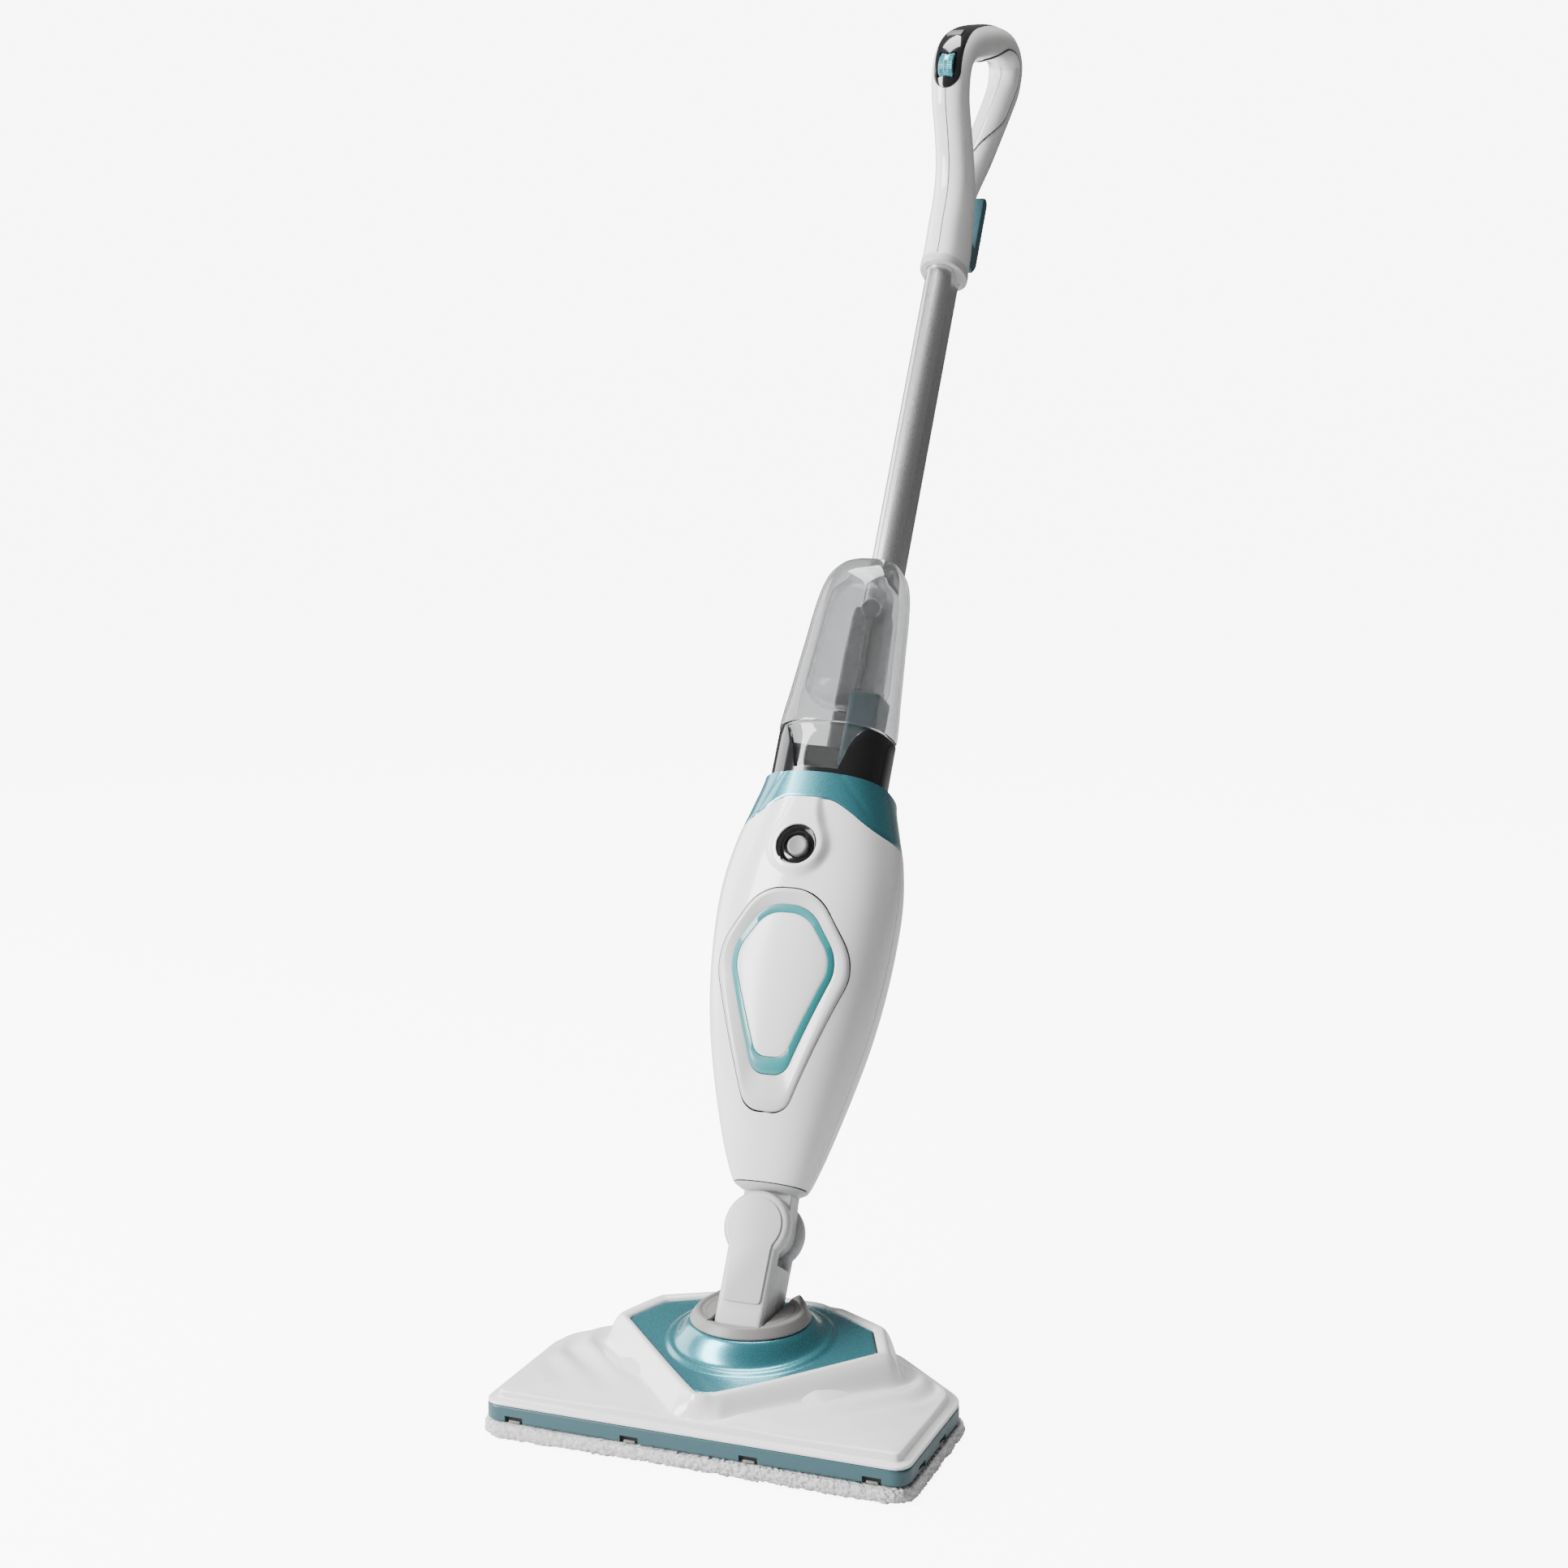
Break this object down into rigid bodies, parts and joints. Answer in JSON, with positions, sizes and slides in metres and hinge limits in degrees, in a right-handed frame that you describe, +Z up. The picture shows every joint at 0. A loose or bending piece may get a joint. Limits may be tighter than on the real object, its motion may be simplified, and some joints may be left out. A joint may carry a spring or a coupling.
{
  "type": "steam mop",
  "caption": "Upright steam mop with a wide hinged head on a microfibre pad, pear-shaped body, lift-out water tank, aluminium pole and loop handle.",
  "frame": {"origin": "on the pad's underside, on the middle plane, 36 mm straight below the point where the pole's axis starts", "axes": "+X to the right of the mop, -Y to its front, +Z up; the pole leans back 30 degrees towards +Y"},
  "size_m": [0.3214, 0.7239, 1.0173],
  "materials": {
    "microfibre": "looped white microfibre",
    "teal_plastic": "dark teal moulded plastic",
    "white_gloss": "white gloss moulding",
    "pearl_teal": "pearly metallic teal",
    "grey_plastic": "mid grey satin plastic",
    "pale_grey": "pale grey semi-gloss plastic",
    "black_gloss": "black gloss plastic",
    "smoked_clear": "smoky transparent plastic",
    "steel": "plain steel",
    "aluminium": "satin drawn aluminium",
    "black_rubber": "soft black rubber",
    "board_green": "circuit board"
  },
  "bodies": {
    "head": {"mop_pad": "microfibre", "sole_plate": "teal_plastic", "bumper_band": "teal_plastic", "head_cover": "white_gloss", "head_panel": "pearl_teal", "swivel_ring": "grey_plastic", "hinge_pillar_left": "grey_plastic", "hinge_pillar_right": "grey_plastic", "tilt_pin": "steel", "steam_manifold": "grey_plastic", "pad_clip_1": "grey_plastic", "pad_clip_2": "grey_plastic", "pad_clip_3": "grey_plastic", "pad_clip_4": "grey_plastic", "pad_clip_5": "grey_plastic", "pad_clip_6": "grey_plastic", "pad_clip_7": "grey_plastic", "pad_clip_8": "grey_plastic"},
    "neck": {"neck_front": "pale_grey", "neck_rear": "pale_grey", "neck_inlay": "pale_grey", "roll_pin": "steel", "neck_steam_tube": "black_rubber"},
    "body": {"front_shell": "white_gloss", "rear_shell": "white_gloss", "bottom_cap": "pale_grey", "knuckle": "pale_grey", "shoulder_collar": "pearl_teal", "badge_surround": "pale_grey", "badge_ring": "teal_plastic", "badge_plate": "white_gloss", "button_bezel": "black_gloss", "button_switch": "black_rubber", "tank_seat": "black_gloss", "tank_spine": "white_gloss", "boiler": "aluminium", "pump": "grey_plastic", "control_board": "board_green", "cord_inlet": "black_rubber", "water_pipe": "black_rubber", "steam_pipe": "black_rubber", "pole": "aluminium", "handle_left": "white_gloss", "handle_right": "white_gloss", "handle_collar": "pale_grey", "top_cover": "black_gloss", "dial_window": "grey_plastic", "lower_cord_hook": "teal_plastic", "case_screw_1": "steel", "case_screw_2": "steel", "case_screw_3": "steel"},
    "button": {"steam_button": "grey_plastic"},
    "dial": {"thumb_dial": "pearl_teal"},
    "hook": {"cord_hook": "teal_plastic"},
    "tank": {"water_tank": "smoked_clear", "tank_foot": "black_gloss", "tank_cap": "black_gloss", "dip_tube": "black_gloss", "filter_cartridge": "teal_plastic"}
  },
  "joints": [
    {"name": "neck_tilt", "type": "hinge", "parent": "head", "child": "neck", "pos_m": [0, 0.0111, 0.05503], "axis": [1, 0, 0], "range_deg": [-35, 30]},
    {"name": "body_roll", "type": "hinge", "parent": "neck", "child": "body", "pos_m": [0, 0.05, 0.1224], "axis": [0, -0.866, 0.5], "range_deg": [-50, 50]},
    {"name": "button_press", "type": "slide", "parent": "body", "child": "button", "axis": [0, 0.866, -0.5], "range_m": [0, 0.003], "stiffness_N_per_m": 400, "springref_m": -0.002},
    {"name": "dial_turn", "type": "hinge", "parent": "body", "child": "dial", "pos_m": [0, 0.45646, 0.97142], "axis": [1, 0, 0], "range_deg": [-30, 30]},
    {"name": "hook_swivel", "type": "hinge", "parent": "body", "child": "hook", "pos_m": [0, 0.4863, 0.8289], "axis": [0, -0.866, 0.5], "range_deg": [0, 180]},
    {"name": "tank_lift", "type": "slide", "parent": "body", "child": "tank", "axis": [0, 0.5, 0.866], "range_m": [0, 0.09]}
  ]
}
